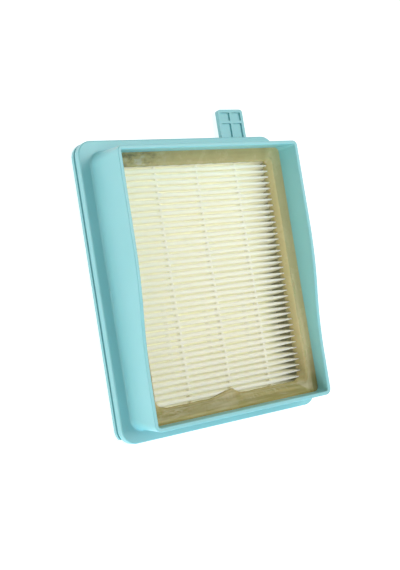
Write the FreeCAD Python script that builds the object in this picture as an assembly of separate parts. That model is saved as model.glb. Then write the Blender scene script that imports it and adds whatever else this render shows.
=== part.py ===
"""Cassette exhaust filter of a vacuum cleaner: a moulded frame with a glued-in pleated pack.

Millimetres. The cassette lies on its back: X runs across it, Y up towards the pull tab
and Z out of the open front. The sizes are laid out from the middle of the flange's rear
face, and the finished pieces are then set with the origin under the middle of the whole outline.
"""
import FreeCAD, Part
import math
import os

# Flange: a lip all round, and behind it a groove and a rear lip on three sides
FLANGE_WIDTH = 122.0
FLANGE_LENGTH = 150.0
FLANGE_CORNER = 7.5
REAR_LIP = 2.6
GROOVE_WIDTH = 1.7
FRONT_LIP = 4.0
GROOVE_DEPTH = 3.0
FRONT_LIP_ROUND = 0.7
REAR_LIP_ROUND = 0.6

# Box walls that stand on the flange
WALL = 1.95
BASE_SIDE_SET_IN = 5.8
BASE_END_SET_IN = 6.1
BASE_CORNER = 6.5
SIDE_DRAFT = 0.5
ROOT_BAND = 9.0
TOP_DRAFT = 3.2
BOTTOM_FLARE = 1.2
RIM_CORNER = 2.6
ROOT_ROUND = 0.9
RIM_ROUND = 0.5

# Front edge of the side walls: high towards the tab, low at the other end, an S between
HIGH_RIM = 27.3
RIM_STEP = 5.8
STEP_TOP = 21.0
STEP_RUN = 70.0

# Ledge at the rear that carries the pack
LEDGE = 2.3
LEDGE_REACH = 4.0

# Pull tab with four shallow pockets
TAB_WIDTH = 16.6
TAB_HEIGHT = 16.4
TAB_THICKNESS = 2.6
TAB_FROM_MIDDLE = 37.8
TAB_CORNER = 1.8
TAB_BORDER = 1.7
TAB_RIB = 1.4
TAB_UPPER_POCKET = 4.6
POCKET_DEPTH = 0.9
POCKET_CORNER = 0.5

# Pleated pack
PLEAT_PITCH = 3.1
PLEAT_DEPTH = 15.8
PACK_SHIFT = -0.9
PAPER = 0.5
FOLD_INNER_RADIUS = 0.3
FOLD_FACETS = 4

# Hot-melt separator beads across the folds, on both faces of the pack
BEAD_COUNT = 3
BEAD_SPACING = 25.0
BEAD_WIDTH = 1.3
BEAD_SPINE = 0.4
BEAD_REACH = 6.0

# Potting adhesive between the pack and the walls
GLUE_SIDE_GAP = 5.75
GLUE_END_GAP = 4.9
GLUE_OVERLAP = 2.3
GLUE_END_OVERLAP = 2.6
GLUE_LIP = 0.6
GLUE_CLIMB = 2.8
GLUE_CORNER = 4.0

# Heights and half sizes that follow from the driving dimensions
FLANGE_DEPTH = REAR_LIP + GROOVE_WIDTH + FRONT_LIP
RIM_TOP = FLANGE_DEPTH + HIGH_RIM
BASE_HALF_X = FLANGE_WIDTH / 2 - BASE_SIDE_SET_IN
BASE_HALF_Y = FLANGE_LENGTH / 2 - BASE_END_SET_IN
PACK_WIDTH = 2 * (BASE_HALF_X - WALL - GLUE_SIDE_GAP)
PLEAT_COUNT = int(2 * (BASE_HALF_Y - WALL - GLUE_END_GAP) / PLEAT_PITCH)
PACK_REAR = LEDGE + BEAD_SPINE
PACK_FRONT = PACK_REAR + PLEAT_DEPTH
FOLD_OUTER_RADIUS = FOLD_INNER_RADIUS + PAPER
FOLD_RADIUS = FOLD_INNER_RADIUS + PAPER / 2
FRONT_FOLD_Z = PACK_FRONT - FOLD_OUTER_RADIUS
REAR_FOLD_Z = PACK_REAR + FOLD_OUTER_RADIUS
PACK_START = PACK_SHIFT - PLEAT_COUNT * PLEAT_PITCH / 2
LEG_RISE = FRONT_FOLD_Z - REAR_FOLD_Z
FOLD_DISTANCE = math.hypot(PLEAT_PITCH / 2, LEG_RISE)
LEG_ANGLE = math.atan2(PLEAT_PITCH / 2, LEG_RISE) - math.asin(2 * FOLD_RADIUS / FOLD_DISTANCE)
BEYOND = 5.0
SAME = 1e-3

Vector = FreeCAD.Vector


def rounded_wire(left, right, bottom, top, radius, z):
    """A closed rectangle with round corners, at height z."""
    turn = radius * (1 - math.sqrt(0.5))
    corners = [
        (right, top, -1, -1),
        (left, top, 1, -1),
        (left, bottom, 1, 1),
        (right, bottom, -1, 1),
    ]
    edges = []
    last = Vector(right, bottom + radius, z)
    for number, (x, y, to_x, to_y) in enumerate(corners):
        along_x = Vector(x + to_x * radius, y, z)
        along_y = Vector(x, y + to_y * radius, z)
        start, end = (along_y, along_x) if number % 2 == 0 else (along_x, along_y)
        edges.append(Part.LineSegment(last, start).toShape())
        middle = Vector(x + to_x * turn, y + to_y * turn, z)
        edges.append(Part.Arc(start, middle, end).toShape())
        last = end
    return Part.Wire(edges)


def block(left, right, bottom, top, radius, low, high):
    """A straight block with round upright corners."""
    wire = rounded_wire(left, right, bottom, top, radius, low)
    return Part.Face(wire).extrude(Vector(0, 0, high - low))


def loft(*wires):
    """A ruled solid through wires of the same make."""
    return Part.makeLoft(list(wires), True, True)


def prism_x(points, low, high):
    """A closed outline of (y, z) corners, drawn out along X."""
    corners = [Vector(low, y, z) for y, z in points]
    wire = Part.makePolygon(corners + corners[:1])
    return Part.Face(wire).extrude(Vector(high - low, 0, 0))


def box_wire(z, inset):
    """Section of the box walls at height z, drawn in by inset from their outer face."""
    share = (z - FLANGE_DEPTH) / HIGH_RIM
    root_share = min((z - FLANGE_DEPTH) / ROOT_BAND, 1)
    half_x = BASE_HALF_X - SIDE_DRAFT * root_share - inset
    top = BASE_HALF_Y - TOP_DRAFT * share - inset
    bottom = -BASE_HALF_Y - BOTTOM_FLARE * share + inset
    corner = BASE_CORNER + (RIM_CORNER - BASE_CORNER) * share
    return rounded_wire(-half_x, half_x, bottom, top, max(corner - inset, RIM_ROUND), z)


def box(inset):
    """The box of the walls, drawn in by inset: a drafted root band and the straighter rest."""
    return loft(*[box_wire(FLANGE_DEPTH + height, inset) for height in (0, ROOT_BAND, HIGH_RIM)])


def cavity():
    """The room inside the walls, from the ledge to the highest rim."""
    foot = Part.Face(box_wire(FLANGE_DEPTH, WALL)).extrude(Vector(0, 0, LEDGE - FLANGE_DEPTH))
    return foot.fuse(box(WALL))


def rim_cutter():
    """Everything in front of the S-shaped front edge of the side walls."""
    low_rim = RIM_TOP - RIM_STEP
    far = FLANGE_LENGTH
    ahead = RIM_TOP + BEYOND
    middle_y = STEP_TOP - STEP_RUN / 2
    middle_z = RIM_TOP - RIM_STEP / 2
    radius = (STEP_RUN ** 2 + RIM_STEP ** 2) / (4 * RIM_STEP)
    half_turn = math.asin(STEP_RUN / (2 * radius)) / 2
    bow_run = radius * math.sin(half_turn)
    bow_drop = radius * (1 - math.cos(half_turn))

    def at(y, z):
        return Vector(-FLANGE_WIDTH, y, z)

    path = [
        Part.LineSegment(at(far, RIM_TOP), at(STEP_TOP, RIM_TOP)).toShape(),
        Part.Arc(at(STEP_TOP, RIM_TOP), at(STEP_TOP - bow_run, RIM_TOP - bow_drop),
                 at(middle_y, middle_z)).toShape(),
        Part.Arc(at(middle_y, middle_z), at(STEP_TOP - STEP_RUN + bow_run, low_rim + bow_drop),
                 at(STEP_TOP - STEP_RUN, low_rim)).toShape(),
        Part.LineSegment(at(STEP_TOP - STEP_RUN, low_rim), at(-far, low_rim)).toShape(),
        Part.LineSegment(at(-far, low_rim), at(-far, ahead)).toShape(),
        Part.LineSegment(at(-far, ahead), at(far, ahead)).toShape(),
        Part.LineSegment(at(far, ahead), at(far, RIM_TOP)).toShape(),
    ]
    return Part.Face(Part.Wire(path)).extrude(Vector(2 * FLANGE_WIDTH, 0, 0))


def lip(low, high):
    """One lip of the flange."""
    half_x = FLANGE_WIDTH / 2
    half_y = FLANGE_LENGTH / 2
    return block(-half_x, half_x, -half_y, half_y, FLANGE_CORNER, low, high)


def rear_lip():
    """The rear lip: at the end away from the tab it stops flush with the core."""
    corner = Vector(-FLANGE_WIDTH / 2, -FLANGE_LENGTH / 2, 0)
    return lip(0, REAR_LIP).cut(Part.makeBox(FLANGE_WIDTH, GROOVE_DEPTH, REAR_LIP, corner))


def outline_edges(shape, z):
    """The edges of the flange's outer outline at height z."""
    half_x = FLANGE_WIDTH / 2
    half_y = FLANGE_LENGTH / 2
    inside = FLANGE_CORNER * (1 - math.sqrt(0.5)) * 2
    found = []
    for edge in shape.Edges:
        box = edge.BoundBox
        level = abs(box.ZMin - z) < SAME and abs(box.ZMax - z) < SAME
        middle = edge.valueAt((edge.FirstParameter + edge.LastParameter) / 2)
        outer = abs(middle.x) > half_x - inside or abs(middle.y) > half_y - inside
        if level and outer:
            found.append(edge)
    return found


def flange():
    """The lips and the core between them, with softened outer edges."""
    front_low = REAR_LIP + GROOVE_WIDTH
    front = lip(front_low, FLANGE_DEPTH)
    front = front.makeFillet(FRONT_LIP_ROUND, outline_edges(front, FLANGE_DEPTH))
    rear = rear_lip()
    rear = rear.makeFillet(REAR_LIP_ROUND, outline_edges(rear, 0))
    core_x = FLANGE_WIDTH / 2 - GROOVE_DEPTH
    core_y = FLANGE_LENGTH / 2 - GROOVE_DEPTH
    core_corner = FLANGE_CORNER - GROOVE_DEPTH
    core = block(-core_x, core_x, -core_y, core_y, core_corner, REAR_LIP, front_low)
    return front.fuse([rear, core])


def pull_tab():
    """The tab beside the groove, with two short and two long pockets on its front."""
    left = TAB_FROM_MIDDLE - TAB_WIDTH / 2
    right = TAB_FROM_MIDDLE + TAB_WIDTH / 2
    edge_y = FLANGE_LENGTH / 2
    top = edge_y + TAB_HEIGHT
    front = REAR_LIP + GROOVE_WIDTH
    root = edge_y - GROOVE_DEPTH - TAB_CORNER
    tab = block(left, right, root, top, TAB_CORNER, front - TAB_THICKNESS, front)
    upper_low = top - TAB_BORDER - TAB_UPPER_POCKET
    rows = [(upper_low, top - TAB_BORDER), (edge_y, upper_low - TAB_RIB)]
    columns = [(left + TAB_BORDER, TAB_FROM_MIDDLE - TAB_RIB / 2),
               (TAB_FROM_MIDDLE + TAB_RIB / 2, right - TAB_BORDER)]
    for low, high in rows:
        for near, far in columns:
            pocket = block(near, far, low, high, POCKET_CORNER, front - POCKET_DEPTH, front + BEYOND)
            tab = tab.cut(pocket)
    return tab


def make_frame():
    """The whole moulding: flange, walls with the S-shaped rim, ledge and tab."""
    body = flange().fuse(box(0)).removeSplitter()
    root = [edge for edge in body.Edges if is_root(edge)]
    body = body.makeFillet(ROOT_ROUND, root)
    body = body.cut(cavity())
    hole_x = PACK_WIDTH / 2 - LEDGE_REACH
    hole_y = PLEAT_COUNT * PLEAT_PITCH / 2 - LEDGE_REACH
    body = body.cut(block(-hole_x, hole_x, PACK_SHIFT - hole_y, PACK_SHIFT + hole_y,
                          GLUE_CORNER, -BEYOND, LEDGE + BEYOND))
    body = body.cut(rim_cutter())
    body = body.makeFillet(RIM_ROUND, rim_edges(body))
    return body.fuse(pull_tab()).removeSplitter()


def rim_edges(body):
    """The inner and outer edges of the walls' front faces."""
    low_rim = RIM_TOP - RIM_STEP
    found = []
    for face in body.Faces:
        first_u, last_u, first_v, last_v = face.ParameterRange
        normal = face.normalAt((first_u + last_u) / 2, (first_v + last_v) / 2)
        if face.BoundBox.ZMin < low_rim - SAME or normal.z < 0.5:
            continue
        for edge in face.Edges:
            shared = [other for other in found if other.isSame(edge)]
            if shared:
                found.remove(shared[0])
            else:
                found.append(edge)
    return found


def is_root(edge):
    """Whether an edge runs where the outer walls stand on the flange."""
    box = edge.BoundBox
    level = abs(box.ZMin - FLANGE_DEPTH) < SAME and abs(box.ZMax - FLANGE_DEPTH) < SAME
    middle = edge.valueAt((edge.FirstParameter + edge.LastParameter) / 2)
    return level and abs(middle.x) < BASE_HALF_X + SAME and abs(middle.y) < BASE_HALF_Y + SAME


def sheet_side(side):
    """The (y, z) corners of one side of the folded sheet: 1 for the front side, -1 for the rear."""
    points = []
    for number in range(2 * PLEAT_COUNT + 1):
        bend = 1 if number % 2 == 1 else -1
        y = PACK_START + number * PLEAT_PITCH / 2
        z = FRONT_FOLD_Z if bend == 1 else REAR_FOLD_Z
        radius = FOLD_RADIUS + side * bend * PAPER / 2
        facets = FOLD_FACETS if side == bend else FOLD_FACETS // 2
        steps = range(facets + 1)
        if number == 0:
            steps = [facets]
        elif number == 2 * PLEAT_COUNT:
            steps = [0]
        for step in steps:
            angle = bend * (math.pi - LEG_ANGLE - step / facets * (math.pi - 2 * LEG_ANGLE))
            points.append((y + radius * math.cos(angle), z + radius * math.sin(angle)))
    return points


def make_media():
    """The folded sheet: straight legs between folds that turn in a few facets."""
    outline = sheet_side(1) + sheet_side(-1)[::-1]
    return prism_x(outline, -PACK_WIDTH / 2, PACK_WIDTH / 2)


def half_valley(z_from_fold):
    """Half the clear width between two legs, at a distance from the nearer folds' centres."""
    at_fold = PLEAT_PITCH / 2 - FOLD_OUTER_RADIUS / math.cos(LEG_ANGLE)
    return at_fold - z_from_fold * math.tan(LEG_ANGLE)


def bead_outline(first, last, fold_z, outer_z, way):
    """A comb: a spine along the folds and a tooth in each valley between them."""
    spine_z = outer_z + way * BEAD_SPINE
    deep_z = fold_z - way * BEAD_REACH
    wide = half_valley(0)
    narrow = half_valley(BEAD_REACH)
    start = PACK_START + first * PLEAT_PITCH / 2
    end = PACK_START + last * PLEAT_PITCH / 2
    points = [(start, spine_z), (start, outer_z)]
    for number in range(first + 1, last, 2):
        y = PACK_START + number * PLEAT_PITCH / 2
        points += [(y - wide, outer_z), (y - wide, fold_z), (y - narrow, deep_z)]
        points += [(y + narrow, deep_z), (y + wide, fold_z), (y + wide, outer_z)]
    return points + [(end, outer_z), (end, spine_z)]


def make_beads(front):
    """The separator beads of one face of the pack, from left to right."""
    if front:
        outline = bead_outline(1, 2 * PLEAT_COUNT - 1, FRONT_FOLD_Z, PACK_FRONT, 1)
    else:
        outline = bead_outline(2, 2 * PLEAT_COUNT - 2, REAR_FOLD_Z, PACK_REAR, -1)
    beads = []
    for number in range(BEAD_COUNT):
        x = (number - (BEAD_COUNT - 1) / 2) * BEAD_SPACING
        beads.append(prism_x(outline, x - BEAD_WIDTH / 2, x + BEAD_WIDTH / 2))
    return beads


def pack_room():
    """The room that the folded sheet takes: its end legs carried on straight."""
    lean = math.tan(LEG_ANGLE)
    foot = FOLD_OUTER_RADIUS / math.cos(LEG_ANGLE)
    start = PACK_START + PLEAT_PITCH / 2 - foot
    end = PACK_START + (PLEAT_COUNT - 0.5) * PLEAT_PITCH + foot
    rear = (FRONT_FOLD_Z - LEDGE) * lean
    front = (PACK_FRONT - FRONT_FOLD_Z) * lean
    points = [(start - rear, LEDGE), (end + rear, LEDGE)]
    points += [(end - front, PACK_FRONT), (start + front, PACK_FRONT)]
    return prism_x(points, -PACK_WIDTH / 2, PACK_WIDTH / 2)


def make_adhesive(room, front_beads):
    """The potting: it fills the gap round the pack, laps over its edge and climbs the walls."""
    lip_z = PACK_FRONT + GLUE_LIP
    high_z = lip_z + GLUE_CLIMB
    half_x = PACK_WIDTH / 2 - GLUE_OVERLAP
    half_y = PLEAT_COUNT * PLEAT_PITCH / 2 - GLUE_END_OVERLAP
    low = PACK_SHIFT - half_y
    high = PACK_SHIFT + half_y
    level = block(-FLANGE_WIDTH / 2, FLANGE_WIDTH / 2, -FLANGE_LENGTH / 2, FLANGE_LENGTH / 2,
                  FLANGE_CORNER, LEDGE, high_z)
    window = block(-half_x, half_x, low, high, GLUE_CORNER, PACK_REAR, lip_z)
    slope = loft(rounded_wire(-half_x, half_x, low, high, GLUE_CORNER, lip_z), box_wire(high_z, WALL))
    glue = room.common(level).cut(pack_room())
    glue = glue.cut(window.fuse(slope))
    return glue.cut(Part.makeCompound(front_beads))


def main():
    os.makedirs("parts", exist_ok=True)
    front_beads = make_beads(True)
    nodes = {
        "frame": make_frame(),
        "filter_media": make_media(),
        "adhesive_border": make_adhesive(cavity(), front_beads),
    }
    for number, bead in enumerate(front_beads, 1):
        nodes[f"front_separator_{number}"] = bead
    for number, bead in enumerate(make_beads(False), 1):
        nodes[f"rear_separator_{number}"] = bead
    for name, shape in nodes.items():
        shape.translate(Vector(0, -TAB_HEIGHT / 2, 0))
        print(name, len(shape.Solids), shape.isValid(), round(shape.Volume, 1))
        shape.exportStep(f"parts/{name}.step")


main()
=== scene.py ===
"""Looks of the exhaust filter cassette: paper pleats, potting, beads, plastic, light and camera."""
import math

import bpy
import numpy as np
from mathutils import Euler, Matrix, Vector, noise


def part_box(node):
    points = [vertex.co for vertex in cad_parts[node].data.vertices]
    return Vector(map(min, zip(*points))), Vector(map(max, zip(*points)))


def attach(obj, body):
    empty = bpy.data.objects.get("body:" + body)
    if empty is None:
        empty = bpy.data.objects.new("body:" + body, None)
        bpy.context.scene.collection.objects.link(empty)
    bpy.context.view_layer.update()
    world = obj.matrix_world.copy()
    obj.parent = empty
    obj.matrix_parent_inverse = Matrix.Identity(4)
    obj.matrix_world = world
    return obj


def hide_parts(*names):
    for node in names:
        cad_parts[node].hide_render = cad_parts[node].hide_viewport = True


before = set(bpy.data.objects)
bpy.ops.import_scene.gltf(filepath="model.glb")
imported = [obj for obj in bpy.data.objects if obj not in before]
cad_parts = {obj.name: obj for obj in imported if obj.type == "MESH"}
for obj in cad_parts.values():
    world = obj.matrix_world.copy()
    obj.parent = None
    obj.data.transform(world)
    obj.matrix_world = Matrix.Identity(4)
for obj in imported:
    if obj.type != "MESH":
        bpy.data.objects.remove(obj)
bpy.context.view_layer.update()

MM = 0.001

# Sizes in millimetres that repeat the part's own values
PLEATS = 40
PITCH = 3.1
PAPER = 0.5
FOLD_RADIUS = 0.55
BEAD_WIDTH = 1.3
WALL_SLOPE_TOP = 1.49
WALL_SLOPE_BOTTOM = 0.56
WALL_SLOPE_SIDE = 0.5

# Front folds in millimetres, drawn rounder than the plain zigzag of the part
FRONT_FOLD_RADIUS = 0.90

# Points along each side and each corner of the potting's loops
SIDE_STEPS = 190
CORNER_STEPS = 14

# Stretches along an axis, in metres, over which the painted glow of the paper and beads changes: an emission
# that stands in for light let through the paper from behind
PAINTED_GLOW_DEPTH = (0.0145, 0.0180)
PAINTED_GLOW_RIGHT = (0.022, 0.044)
PAINTED_GLOW_LENGTH = (-0.065, 0.035)
PAINTED_GLOW_LEFT = (-0.045, -0.005)
PAINTED_GLOW_COLOUR = (0.96, 0.98, 0.92, 1.0)

# Stretches along an axis, in metres, over which the colour of the potting and beads changes; the right band,
# the stretch above the low corner and the stretch among the folds carry painted light, and the low band
# carries partly painted shade
RIGHT_BAND = (0.0440, 0.0475)
LOW_BAND = (-0.0700, -0.0650)
SMEARED_X = (-0.034, -0.012)
SMEARED_Y = (0.049, 0.052)
ABOVE_LOW_CORNER = (-0.0620, -0.0500)
AMONG_FOLDS = (0.0150, 0.0172)
BEAD_LOW_END = (-0.067, -0.056)

# Camera of the photograph: place in metres, turn in degrees, lens and sensor in millimetres
CAMERA_PLACE = (-0.27746, -0.03382, 0.41584)
CAMERA_TURN = (8.7655, -33.0597, -10.973)
CAMERA_LENS = 60.06
SENSOR = 36.0
NEAREST = 0.01

# Stage: the floor's half width and level in metres, and the strength of the surroundings
FLOOR_HALF = 3.0
FLOOR_LEVEL = -0.0003
FLOOR_GLOW = 0.75
SURROUNDINGS = 0.40


def low_high(node):
    """Lowest and highest corner of a node, in millimetres."""
    low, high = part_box(node)
    return np.array(low) / MM, np.array(high) / MM


def make_object(name, points, faces, material, node):
    """A smooth mesh in millimetres that rides on the part and stands for a CAD node."""
    mesh = bpy.data.meshes.new(name)
    mesh.from_pydata((np.asarray(points) * MM).tolist(), [], faces)
    mesh.polygons.foreach_set("use_smooth", [True] * len(mesh.polygons))
    mesh.update()
    piece = bpy.data.objects.new(name, mesh)
    bpy.context.scene.collection.objects.link(piece)
    mesh.materials.append(material)
    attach(piece, "root")
    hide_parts(node)


def grid_faces(rows, columns, close_rows=False):
    """Quads of a grid whose columns close on themselves, and its rows too on request."""
    faces = []
    for row in range(rows if close_rows else rows - 1):
        after = (row + 1) % rows
        for column in range(columns):
            beside = (column + 1) % columns
            faces.append((row * columns + column, after * columns + column,
                          after * columns + beside, row * columns + beside))
    return faces


def wander(x, y, pace, seed=0.0):
    """Smooth seeded unevenness from about -1 to 1, with a pace along each direction."""
    return noise.noise(Vector((x * pace[0], y * pace[1], seed)))


def hump(value, place, width):
    """A smooth hump of height 1 round a place."""
    return math.exp(-((value - place) / width) ** 2)


# Materials


class Shader:
    """A principled material with short ways to add nodes to it."""

    def __init__(self, name):
        self.material = bpy.data.materials.new(name)
        self.material.use_nodes = True
        self.tree = self.material.node_tree
        self.main = self.tree.nodes["Principled BSDF"]
        self.place = self.tree.nodes.new("ShaderNodeTexCoord").outputs["Object"]

    def set(self, **values):
        """Constant values on the shader's own sockets."""
        for name, value in values.items():
            self.main.inputs[name.replace("_", " ")].default_value = value

    def link(self, output, input_name):
        """An output joined to one of the shader's sockets."""
        self.tree.links.new(output, self.main.inputs[input_name])

    def stretched(self, scale):
        """Object coordinates scaled along each axis."""
        node = self.tree.nodes.new("ShaderNodeMapping")
        node.inputs["Scale"].default_value = scale
        self.tree.links.new(self.place, node.inputs["Vector"])
        return node.outputs["Vector"]

    def noise(self, scale, detail=3.0, roughness=0.55, place=None):
        """Noise from 0 to 1."""
        node = self.tree.nodes.new("ShaderNodeTexNoise")
        node.inputs["Scale"].default_value = scale
        node.inputs["Detail"].default_value = detail
        node.inputs["Roughness"].default_value = roughness
        self.tree.links.new(place or self.place, node.inputs["Vector"])
        return node.outputs["Fac"]

    def ramp(self, value, stops):
        """A colour ramp from pairs of place and colour."""
        node = self.tree.nodes.new("ShaderNodeValToRGB")
        for element, (place, colour) in zip(node.color_ramp.elements, stops):
            element.position = place
            element.color = (*colour, 1.0)
        self.tree.links.new(value, node.inputs["Fac"])
        return node.outputs["Color"]

    def spread(self, value, low, high, from_low=0.3, from_high=0.7):
        """A value carried from one range to another, and held at its ends."""
        node = self.tree.nodes.new("ShaderNodeMapRange")
        node.inputs["From Min"].default_value = from_low
        node.inputs["From Max"].default_value = from_high
        node.inputs["To Min"].default_value = low
        node.inputs["To Max"].default_value = high
        self.tree.links.new(value, node.inputs["Value"])
        return node.outputs["Result"]

    def along(self, axis, low, high, stretch):
        """A value that goes from low to high over a stretch of an axis."""
        node = self.tree.nodes.new("ShaderNodeSeparateXYZ")
        self.tree.links.new(self.place, node.inputs["Vector"])
        return self.spread(node.outputs[axis], low, high, *stretch)

    def times(self, one, two):
        """The product of two values."""
        node = self.tree.nodes.new("ShaderNodeMath")
        node.operation = "MULTIPLY"
        self.tree.links.new(one, node.inputs[0])
        self.tree.links.new(two, node.inputs[1])
        return node.outputs["Value"]

    def mix(self, share, first, second):
        """A share of the second colour, or of the second output, laid over the first."""
        node = self.tree.nodes.new("ShaderNodeMix")
        node.data_type = "RGBA"
        self.tree.links.new(share, node.inputs["Factor"])
        self.tree.links.new(first, node.inputs["A"])
        if isinstance(second, tuple):
            node.inputs["B"].default_value = (*second, 1.0)
        else:
            self.tree.links.new(second, node.inputs["B"])
        return node.outputs["Result"]

    def bump(self, height, strength, distance):
        """Fine relief from a height."""
        node = self.tree.nodes.new("ShaderNodeBump")
        node.inputs["Strength"].default_value = strength
        node.inputs["Distance"].default_value = distance
        self.tree.links.new(height, node.inputs["Height"])
        self.link(node.outputs["Normal"], "Normal")

    def painted_glow(self, deepest):
        """Painted glow, an emission that stands in for light let through the folds from behind: it grows with
        depth, and fades to the right and the low end.
        """
        at_tips = 0.03
        depth = self.along("Z", deepest, at_tips, PAINTED_GLOW_DEPTH)
        right = self.along("X", 1.0, 0.5, PAINTED_GLOW_RIGHT)
        length = self.along("Y", 0.55, 1.0, PAINTED_GLOW_LENGTH)
        left = self.along("X", 1.15, 1.0, PAINTED_GLOW_LEFT)
        self.link(self.times(self.times(depth, right), self.times(length, left)), "Emission Strength")
        self.set(Emission_Color=PAINTED_GLOW_COLOUR)


def frame_plastic():
    """Satin turquoise plastic with a faint moulded grain and soft unevenness of tone."""
    shader = Shader("frame_plastic")
    tone = shader.noise(28.0, 2.0)
    turquoise = shader.ramp(tone, [(0.3, (0.258, 0.595, 0.622)), (0.7, (0.282, 0.625, 0.652))])
    shader.link(turquoise, "Base Color")
    shader.link(shader.spread(shader.noise(120.0), 0.32, 0.38), "Roughness")
    grain = shader.noise(2600.0, 2.0)
    shader.bump(grain, 0.05, 0.00008)
    shader.set(Specular_IOR_Level=0.45, Subsurface_Weight=0.08, Subsurface_Scale=0.002)
    return shader.material


def filter_paper():
    """Cream fibre paper: fine felted fibres, faint blotches, some light let through by subsurface scattering,
    and a painted glow in the folds in place of light from behind.
    """
    yellowed = (0.91, 0.87, 0.64)
    shader = Shader("filter_paper")
    fibres = shader.noise(1100.0, 6.0, 0.7, shader.stretched((0.35, 1.0, 1.0)))
    cream = shader.ramp(fibres, [(0.25, (0.89, 0.865, 0.66)), (0.75, (0.95, 0.93, 0.73))])
    blotches = shader.spread(shader.noise(70.0), 0.0, 0.35)
    shader.link(shader.mix(blotches, cream, yellowed), "Base Color")
    shader.link(shader.spread(fibres, 0.8, 0.95), "Roughness")
    shader.bump(fibres, 0.25, 0.00006)
    # Painted glow: emission in the folds that stands in for light let through the paper from behind.
    shader.painted_glow(0.18)
    shader.set(Specular_IOR_Level=0.2, Subsurface_Weight=0.8, Subsurface_Scale=0.0015,
               Subsurface_Radius=(1.0, 1.0, 0.75))
    return shader.material


def potting():
    """Cured tan potting: glossy, streaked along the band, with dark and milky smears in one corner, painted
    light on the right band and among the folds, and painted shade towards the low end.
    """
    shaded_olive = (0.245, 0.218, 0.052)
    pale_tan = (0.53, 0.455, 0.20)
    dark_green = (0.15, 0.155, 0.085)
    painted_light_gold = (0.74, 0.66, 0.35)
    painted_light_grey = (0.60, 0.60, 0.48)
    milk = (0.58, 0.59, 0.45)
    shader = Shader("potting_adhesive")
    along_x = shader.noise(520.0, 4.0, 0.6, shader.stretched((0.05, 1.0, 1.0)))
    along_y = shader.noise(420.0, 4.0, 0.6, shader.stretched((1.0, 0.10, 1.0)))
    on_right = shader.along("X", 0.0, 1.0, RIGHT_BAND)
    streaks = shader.mix(on_right, along_x, along_y)
    clouds = shader.noise(90.0, 4.0)
    colour = shader.ramp(clouds, [(0.3, (0.42, 0.345, 0.152)), (0.7, (0.53, 0.440, 0.208))])
    # Darker olive towards the low end: partly the band's darker streaks, partly painted shade of the dimly
    # lit low band.
    colour = shader.mix(shader.along("Y", 0.8, 0.0, LOW_BAND), colour, shaded_olive)
    colour = shader.mix(shader.spread(streaks, 0.0, 0.6, 0.44, 0.66), colour, pale_tan)
    corner = shader.times(shader.along("X", 1.0, 0.0, SMEARED_X), shader.along("Y", 0.0, 1.0, SMEARED_Y))
    smears = shader.noise(330.0, 5.0, 0.65, shader.stretched((0.6, 0.9, 1.0)))
    milky = shader.times(corner, shader.spread(smears, 0.0, 0.6, 0.52, 0.66))
    dark = shader.times(corner, shader.spread(smears, 0.7, 0.0, 0.36, 0.50))
    colour = shader.mix(dark, colour, dark_green)
    # Painted light: a lighter gold on the right band, fading out above the low corner, where the lamps reach
    # too little.
    above_corner = shader.along("Y", 0.0, 0.6, ABOVE_LOW_CORNER)
    colour = shader.mix(shader.times(on_right, above_corner), colour, painted_light_gold)
    # Painted light: lighter grey on the potting deep among the folds, where it lies in shade.
    colour = shader.mix(shader.along("Z", 0.7, 0.0, AMONG_FOLDS), colour, painted_light_grey)
    shader.link(shader.mix(milky, colour, milk), "Base Color")
    shader.link(shader.spread(clouds, 0.16, 0.34), "Roughness")
    grain = shader.noise(800.0, 2.0)
    shader.bump(shader.mix(on_right, along_x, grain), 0.3, 0.0003)
    shader.set(Specular_IOR_Level=0.35, Subsurface_Weight=0.15, Subsurface_Scale=0.002)
    return shader.material


def hot_melt():
    """Pale hot-melt, close to the paper's colour and yellowest near the low end, with the same painted glow
    as the paper deep in the folds.
    """
    yellow = (0.62, 0.55, 0.27)
    shader = Shader("hot_melt")
    clouds = shader.noise(400.0)
    pale = shader.ramp(clouds, [(0.3, (0.84, 0.825, 0.66)), (0.7, (0.89, 0.88, 0.72))])
    shader.link(shader.mix(shader.along("Y", 0.8, 0.0, BEAD_LOW_END), pale, yellow), "Base Color")
    shader.link(shader.spread(clouds, 0.35, 0.55), "Roughness")
    shader.bump(clouds, 0.15, 0.0001)
    # Painted glow: emission deep in the folds, as on the paper, in place of light from behind.
    shader.painted_glow(0.32)
    shader.set(Specular_IOR_Level=0.2)
    return shader.material


def floor_paint():
    """Pale grey with faint clouds, lit from within so that it fades into the surroundings."""
    shader = Shader("studio_floor")
    tone = shader.noise(3.0, 2.0)
    pale = shader.ramp(tone, [(0.3, (0.50, 0.51, 0.515)), (0.7, (0.53, 0.535, 0.54))])
    shader.link(pale, "Base Color")
    shader.set(Roughness=0.9, Emission_Color=(1.0, 1.0, 1.0, 1.0), Emission_Strength=FLOOR_GLOW)
    return shader.material


# Folded paper


def first_fold():
    """Place along Y of the first rear fold of the pack."""
    low, high = low_high("filter_media")
    return (low[1] + high[1]) / 2 - PLEATS * PITCH / 2


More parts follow.
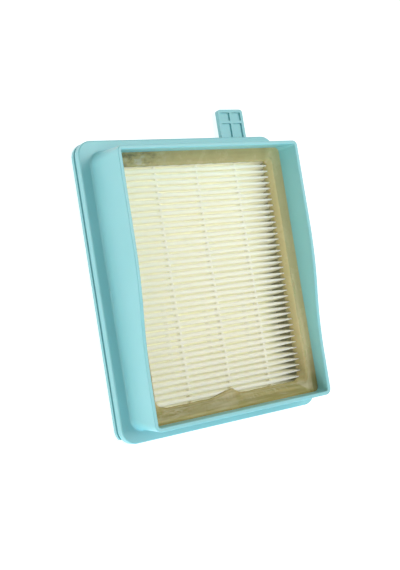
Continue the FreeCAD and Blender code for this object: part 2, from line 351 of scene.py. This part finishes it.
def make_pleats(material):
    """The folded sheet: uneven folds, closed to points at the right and pressed together at the left."""
    stations = 64
    fold_steps = 6
    taper_length = 21.0
    taper = 0.80
    end_drop = 0.3
    press_length = 17.0
    swell = 0.26
    low_end_closing = 0.16
    drift = 0.22
    drift_pace = (0.045, 1.7)
    heave = 0.16
    heave_pace = (0.06, 2.3)
    heave_seed = 7.0
    lean = 0.035
    least_radius = 0.02
    low, high = low_high("filter_media")
    outer = FOLD_RADIUS + PAPER / 2
    front_z = high[2] - outer
    rear_z = low[2] + outer
    start = first_fold()
    last = 2 * PLEATS
    rows = []
    for station in range(stations):
        share = station / (stations - 1)
        x = low[0] + (high[0] - low[0]) * (0.5 - 0.5 * math.cos(math.pi * share))
        near_right = max(0.0, 1 - (high[0] - x) / taper_length)
        near_left = max(0.0, 1 - (x - low[0]) / press_length)
        sides = ([], [])
        for fold in range(last + 1):
            bend = 1 if fold % 2 else -1
            y = start + fold * PITCH / 2 + drift * (1 - near_left) * wander(x, fold, drift_pace)
            z = (front_z if bend == 1 else rear_z) + heave * wander(x, fold, heave_pace, heave_seed)
            closing = 1.0
            middle_radius = FOLD_RADIUS
            if bend == 1:
                closing = 1 - taper * near_right + swell * near_left
                closing -= low_end_closing * (0.5 - (y - low[1]) / (high[1] - low[1]))
                middle_radius = FRONT_FOLD_RADIUS * closing
                z += FOLD_RADIUS - middle_radius + PAPER / 2 * (1 - closing) - end_drop * near_right ** 2
            for side, chain in zip((1, -1), sides):
                radius = max(middle_radius + side * bend * PAPER * closing / 2, least_radius)
                for step in range(fold_steps + 1):
                    if fold == 0 and step < fold_steps or fold == last and step > 0:
                        continue
                    angle = bend * (math.pi - lean - step / fold_steps * (math.pi - 2 * lean))
                    chain.append((x, y + radius * math.cos(angle), z + radius * math.sin(angle)))
        rows.append(sides[0] + sides[1][::-1])
    ring = len(rows[0])
    points = [point for row in rows for point in row]
    faces = grid_faces(stations, ring)
    last_row = (stations - 1) * ring
    for step in range(ring // 2 - 1):
        across = ring - 1 - step
        faces.append((step, step + 1, across - 1, across))
        faces.append((last_row + step + 1, last_row + step, last_row + across, last_row + across - 1))
    make_object("pleated_paper", points, faces, material, "filter_media")


# Hot-melt beads


def make_bead(number, front, material):
    """One bead: it lies just below the tips and bridges the valleys between the folds."""
    steps_per_pleat = 8
    section = 9
    sink = 0.90
    dip = 0.4
    dip_power = 1.3
    sag = 0.2
    sag_pace = (0.9, 1.0)
    widening = 1.2
    width_change = 0.3
    width_pace = (0.55, 5.0)
    drift = 0.25
    drift_pace = (0.11, 3.0)
    crown = 0.45
    foot_share = 0.8
    depth = 3.2
    node = f"{'front' if front else 'rear'}_separator_{number}"
    low, high = low_high(node)
    way = 1 if front else -1
    crest = high[2] if front else low[2]
    start = first_fold() + (PITCH / 2 if front else 0)
    x_middle = (low[0] + high[0]) / 2
    steps = int((high[1] - low[1]) / PITCH * steps_per_pleat)
    points = []
    for step in range(steps + 1):
        y = low[1] + (high[1] - low[1]) * step / steps
        swing = 0.5 - 0.5 * math.cos(2 * math.pi * (y - start) / PITCH)
        top = crest - way * (sink + dip * swing ** dip_power + sag * abs(wander(y, number, sag_pace)))
        half = BEAD_WIDTH / 2 * (widening + width_change * wander(y, number, width_pace))
        x_here = x_middle + drift * wander(y, number, drift_pace)
        for column in range(section):
            turn = math.pi * column / (section - 1)
            points.append((x_here - half * math.cos(turn), y, top - way * crown * (1 - math.sin(turn))))
        points.append((x_here + half * foot_share, y, top - way * depth))
        points.append((x_here - half * foot_share, y, top - way * depth))
    ring = section + 2
    faces = grid_faces(steps + 1, ring)
    faces.append(tuple(range(ring)))
    faces.append(tuple(range(steps * ring, (steps + 1) * ring))[::-1])
    if front:
        faces = [face[::-1] for face in faces]
    make_object(f"bead_{node}", points, faces, material, node)


# Potting round the pack


def on_arc(x, y, radius, angle):
    """Point on a circle at an angle in degrees."""
    turn = math.radians(angle)
    return np.array((x + radius * math.cos(turn), y + radius * math.sin(turn)))


def rounded_loop(left, right, bottom, top, radii):
    """Points round a rectangle with rounded corners, from its lower left."""
    lower_left, lower_right, upper_right, upper_left = radii
    corners = [
        (right - lower_right, bottom + lower_right, lower_right, -90),
        (right - upper_right, top - upper_right, upper_right, 0),
        (left + upper_left, top - upper_left, upper_left, 90),
        (left + lower_left, bottom + lower_left, lower_left, 180),
    ]
    points = []
    begin = np.array((left + lower_left, bottom))
    for x, y, radius, angle in corners:
        end = on_arc(x, y, radius, angle)
        for step in range(SIDE_STEPS):
            points.append(begin + (end - begin) * step / SIDE_STEPS)
        for step in range(CORNER_STEPS):
            points.append(on_arc(x, y, radius, angle + 90 * step / CORNER_STEPS))
        begin = on_arc(x, y, radius, angle + 90)
    return np.array(points)


def potting_loops():
    """Loops with points that answer each other: at the walls, at their foot, at the pack and at the lip."""
    overlap = 0.1
    gap = 0.05
    wall_corner = 2.7
    foot_corner = 4.5
    pack_corner = 0.4
    lip_left = -45.6
    lip_right = 44.9
    lip_over_low_end = 2.6
    lip_over_high_end = 2.1
    lip_corners = (6.0, 6.5, 1.5, 1.5)
    low, high = low_high("adhesive_border")
    pack_low, pack_high = low_high("filter_media")
    wall = rounded_loop(low[0] + WALL_SLOPE_SIDE - overlap, high[0] - WALL_SLOPE_SIDE + overlap,
                        low[1] - gap, high[1] - WALL_SLOPE_TOP + overlap, (wall_corner,) * 4)
    foot = rounded_loop(low[0] + gap, high[0] - gap, low[1] + WALL_SLOPE_BOTTOM + gap, high[1] - gap,
                        (foot_corner,) * 4)
    pack = rounded_loop(pack_low[0], pack_high[0], pack_low[1], pack_high[1], (pack_corner,) * 4)
    lip = rounded_loop(lip_left, lip_right, pack_low[1] + lip_over_low_end,
                       pack_high[1] - lip_over_high_end, lip_corners)
    return wall, foot, pack, lip


def end_shares():
    """For each point of a loop: 1 on the two ends, 0 on the two sides, and between in the corners."""
    rising = [step / CORNER_STEPS for step in range(CORNER_STEPS)]
    falling = [1 - share for share in rising]
    end = [1.0] * SIDE_STEPS + falling
    side = [0.0] * SIDE_STEPS + rising
    return 2 * (end + side)


def low_wave(x):
    """How far the lip creeps up over the pleats at the low end: a peak at the middle bead."""
    peak = 2.9
    peak_x = -1
    width = 9.0 if x < peak_x else 3.2
    return peak * hump(x, peak_x, width)


def uneven_lip(number, point):
    """A point of the lip, moved by the wave at the low end and by small unevenness elsewhere."""
    drift = 0.22
    drift_pace = (0.35, 0.35)
    wave_drift = 0.35
    wave_pace = (0.16, 1.0)
    wave_row = 3.0
    fade_power = 0.3
    if number >= SIDE_STEPS:
        return point + drift * wander(*point, drift_pace)
    fade = math.sin(math.pi * number / SIDE_STEPS) ** fade_power
    rise = fade * (low_wave(point[0]) + wave_drift * wander(point[0], wave_row, wave_pace))
    return point + np.array((0.0, rise))


def ridge_and_lumps(number, end_share, y):
    """Heights of the ridge and of the lumps: on the right, both fade out towards the low corner."""
    ridge_height = 0.85
    lumps = 0.10
    right_lumps = 0.45
    lumps_length = 25.0
    corner_ridge = 0.3
    fade_share = 0.12
    ridge = ridge_height * (1 - end_share) ** 2
    first = SIDE_STEPS + CORNER_STEPS
    if first <= number < first + SIDE_STEPS:
        from_corner = min(1.0, (number - first) / (fade_share * SIDE_STEPS))
        ridge *= corner_ridge + (1 - corner_ridge) * from_corner
        lumps += right_lumps * from_corner * max(0.0, min(1.0, -y / lumps_length))
    return ridge, lumps


def side_height(share, level, ridge, tip_z):
    """Height across a side: a gentle slope, a ridge, and a fall among the pleats."""
    slope = 1.1
    ridge_place = 0.70
    ridge_width = 0.055
    reach = 2.6
    fall_power = 1.8
    z = level - slope * share + ridge * hump(share, ridge_place, ridge_width)
    if share > ridge_place:
        run = (share - ridge_place) / (1 - ridge_place)
        z -= (level - slope - tip_z + reach) * run ** fall_power
    return z


def end_height(share, level, tip_z):
    """Height across an end: a slope down to a film that lies on the tips and has a rounded lip."""
    lip_place = 0.90
    lip_width = 0.05
    lip = 0.35
    lip_fall = 0.5
    film = 0.55
    film_edge = 0.1
    if share > lip_place:
        fall = (share - lip_place) / (1 - lip_place)
        return tip_z + film + lip * hump(fall, 0.0, lip_fall) - (film - film_edge) * fall ** 2
    return level - (level - tip_z - film) * share / lip_place + lip * hump(share, lip_place, lip_width)


def make_potting(material):
    """A ring of potting: a meniscus at the walls, a low ridge and a run-out among the pleats."""
    across = 26
    below_top = 0.5
    level_change = 0.25
    level_pace = (0.03, 0.03)
    level_seed = 2.0
    meniscus = 0.55
    meniscus_width = 0.05
    lumps_place = 0.66
    lumps_width = 0.22
    lumps_pace = (0.9, 0.9)
    lumps_seed = 5.0
    ripple = 0.10
    ripple_pace = (0.12, 0.5)
    ripple_seed = 9.0
    clear = 0.02
    undercut = 0.3
    pack_depth = 3.4
    gap = 0.05
    low, high = low_high("adhesive_border")
    tip_z = low_high("filter_media")[1][2]
    points = []
    for number, (end_share, outer, foot, pack, lip) in enumerate(zip(end_shares(), *potting_loops())):
        inner = uneven_lip(number, lip)
        ridge, lumps = ridge_and_lumps(number, end_share, outer[1])
        level = high[2] - below_top + level_change * wander(*outer, level_pace, level_seed)
        for step in range(across):
            share = step / (across - 1)
            x, y = outer + (inner - outer) * share
            side_z = side_height(share, level, ridge, tip_z)
            end_z = end_height(share, level, tip_z)
            z = side_z + (end_z - side_z) * end_share + meniscus * math.exp(-share / meniscus_width)
            z += lumps * hump(share, lumps_place, lumps_width) * wander(x, y, lumps_pace, lumps_seed)
            z += ripple * wander(x, y, ripple_pace, ripple_seed)
            points.append((x, y, min(z, high[2] - clear)))
        back = (outer - inner) / np.linalg.norm(outer - inner) * undercut * end_share
        points.append((inner[0] + back[0], inner[1] + back[1], points[-1][2] - undercut))
        points.append((pack[0], pack[1], tip_z - pack_depth))
        points.append((pack[0], pack[1], low[2] + gap))
        points.append((foot[0], foot[1], low[2] + gap))
    rows = 4 * (SIDE_STEPS + CORNER_STEPS)
    faces = grid_faces(rows, len(points) // rows, close_rows=True)
    make_object("potting_ring", points, faces, material, "adhesive_border")


# Stage


def make_floor():
    """A pale floor a hair below the part."""
    corners = [(x * FLOOR_HALF, y * FLOOR_HALF, FLOOR_LEVEL) for x, y in ((-1, -1), (1, -1), (1, 1), (-1, 1))]
    mesh = bpy.data.meshes.new("floor")
    mesh.from_pydata(corners, [], [(0, 1, 2, 3)])
    floor = bpy.data.objects.new("floor", mesh)
    bpy.context.scene.collection.objects.link(floor)
    mesh.materials.append(floor_paint())


def area_light(name, place, size, power, colour=(1.0, 1.0, 1.0)):
    """A square soft box that faces the part."""
    data = bpy.data.lights.new(name, "AREA")
    data.shape = "SQUARE"
    data.size = size
    data.energy = power
    data.color = colour
    lamp = bpy.data.objects.new(name, data)
    bpy.context.scene.collection.objects.link(lamp)
    lamp.location = place
    lamp.rotation_euler = (-Vector(place)).to_track_quat("-Z", "Y").to_euler()


def make_light():
    """Even white surroundings, a key from the left, a soft top light and a blue one at the low end."""
    world = bpy.data.worlds.new("studio")
    bpy.context.scene.world = world
    world.use_nodes = True
    background = world.node_tree.nodes["Background"]
    background.inputs["Color"].default_value = (1.0, 1.0, 1.0, 1.0)
    background.inputs["Strength"].default_value = SURROUNDINGS
    area_light("key", (-0.75, -0.60, 0.28), 0.5, 4.3)
    area_light("top", (0.40, 0.12, 0.90), 0.6, 5.4)
    area_light("low", (0.10, -0.95, 0.08), 0.4, 5.0, (0.20, 0.70, 1.0))
    bpy.context.scene.view_settings.view_transform = "Standard"


def make_camera():
    """The photograph's view of the open front."""
    data = bpy.data.cameras.new("camera")
    data.sensor_width = SENSOR
    data.lens = CAMERA_LENS
    data.clip_start = NEAREST
    camera = bpy.data.objects.new("camera", data)
    bpy.context.scene.collection.objects.link(camera)
    camera.location = CAMERA_PLACE
    camera.rotation_euler = Euler([math.radians(angle) for angle in CAMERA_TURN], "XYZ")
    bpy.context.scene.camera = camera


def main():
    """The dressed part on its stage."""
    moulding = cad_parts["frame"]
    moulding.data.materials.clear()
    moulding.data.materials.append(frame_plastic())
    make_pleats(filter_paper())
    make_potting(potting())
    melt = hot_melt()
    for number in (1, 2, 3):
        for front in (True, False):
            make_bead(number, front, melt)
    make_floor()
    make_light()
    make_camera()


main()
